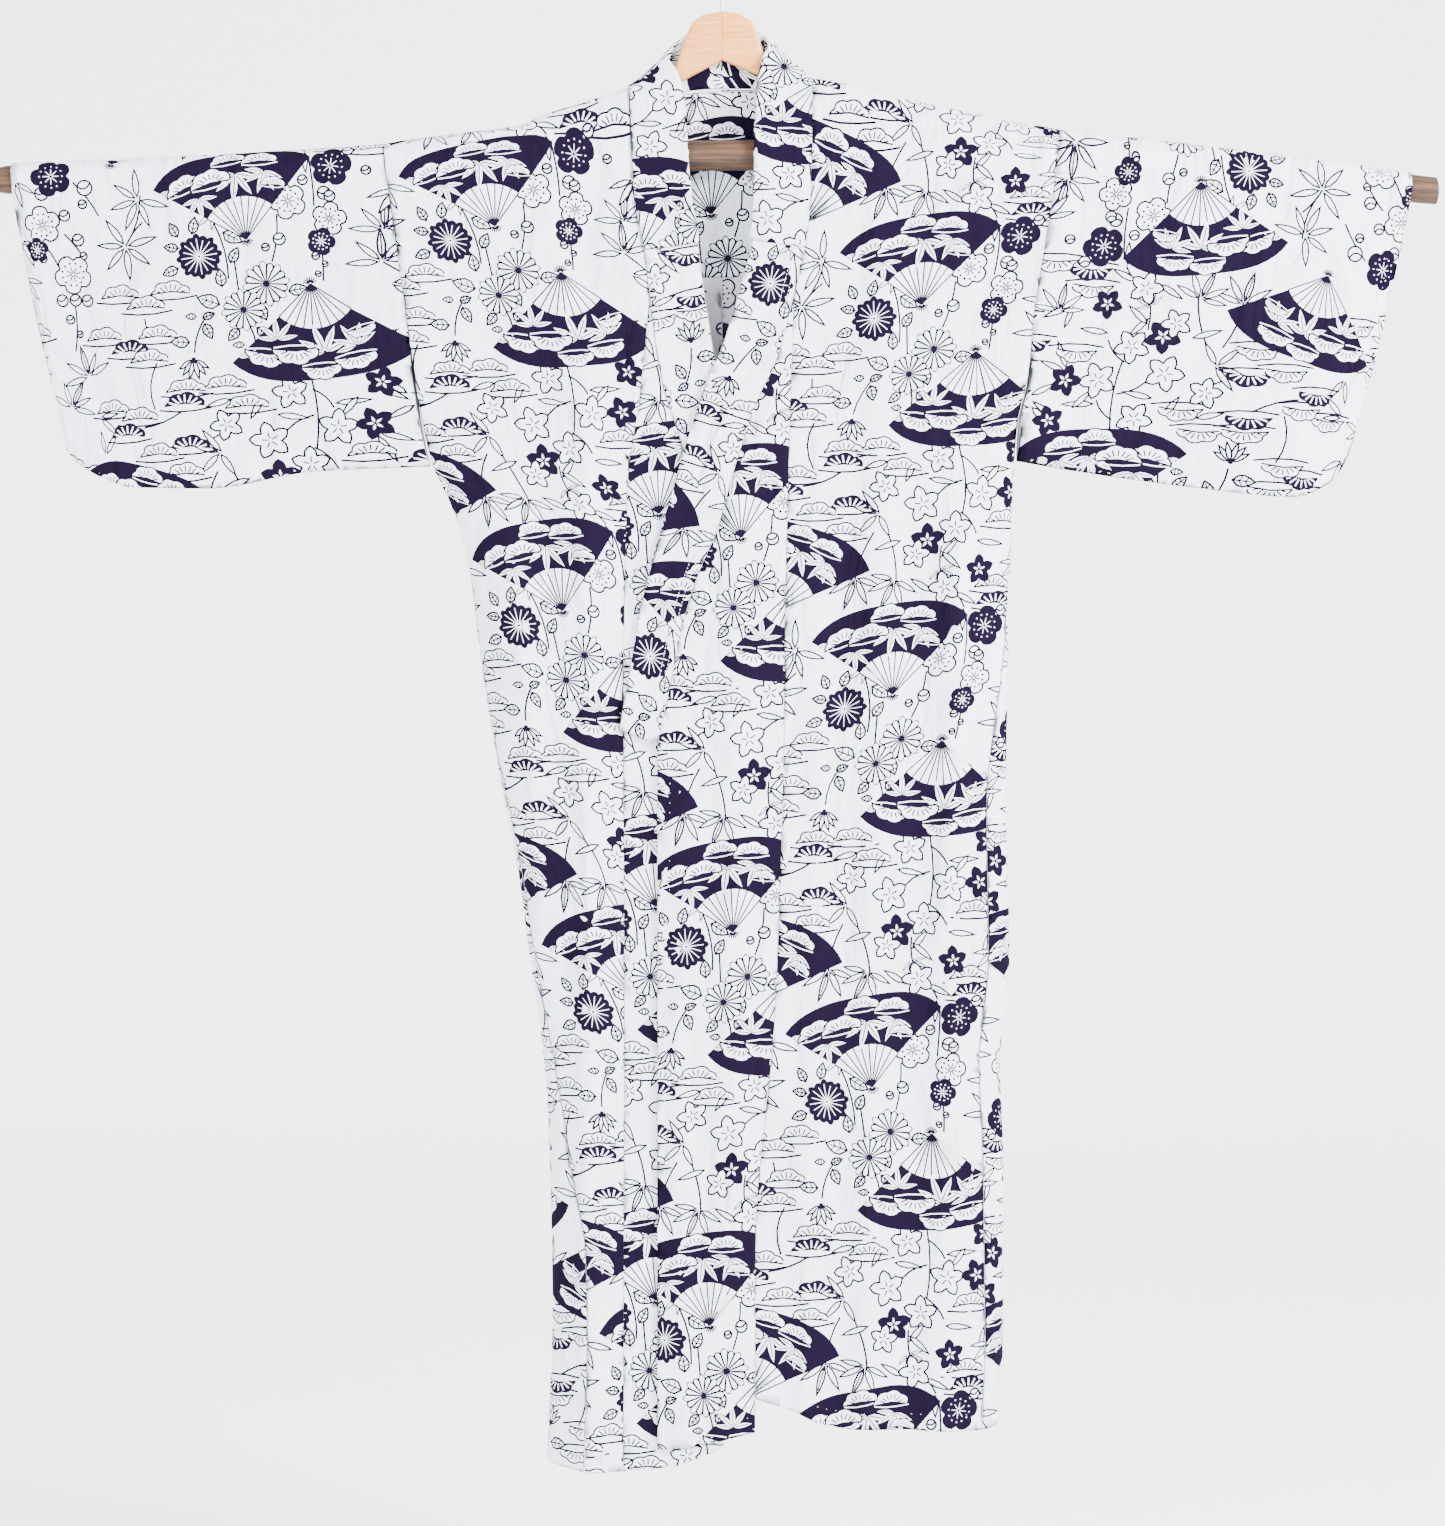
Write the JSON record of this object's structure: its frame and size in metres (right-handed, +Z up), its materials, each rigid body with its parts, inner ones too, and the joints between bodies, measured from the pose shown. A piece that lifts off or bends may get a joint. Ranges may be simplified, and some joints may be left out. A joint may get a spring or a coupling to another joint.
{
  "type": "cotton yukata robe on wooden hanger and pole",
  "caption": "Summer kimono robe of printed cotton, hung flat on a wooden coat hanger with a round wooden pole through its sleeves.",
  "frame": {"origin": "The inside top of the hanger's hook, where it hangs on a rail or peg.", "axes": "+Z is up. The front of the robe faces -Y. +X is the wearer's left."},
  "size_m": [1.364, 0.0819, 1.4318],
  "materials": {
    "body_left": "matt",
    "body_right": "matt",
    "overlap_left": "matt",
    "overlap_right": "matt",
    "sleeve_left": "matt",
    "sleeve_right": "matt",
    "collar": "matt",
    "collar_cover": "matt",
    "neck_lining": "matt",
    "hanger_arm_left": "satin",
    "hanger_arm_right": "satin",
    "hanger_hook": "satin",
    "pole": "matt"
  },
  "bodies": {
    "root": {"body_left": "body_left", "body_right": "body_right", "overlap_left": "overlap_left", "overlap_right": "overlap_right", "sleeve_left": "sleeve_left", "sleeve_right": "sleeve_right", "collar": "collar", "collar_cover": "collar_cover", "neck_lining": "neck_lining", "hanger_arm_left": "hanger_arm_left", "hanger_arm_right": "hanger_arm_right", "hanger_hook": "hanger_hook", "pole": "pole"}
  },
  "joints": []
}
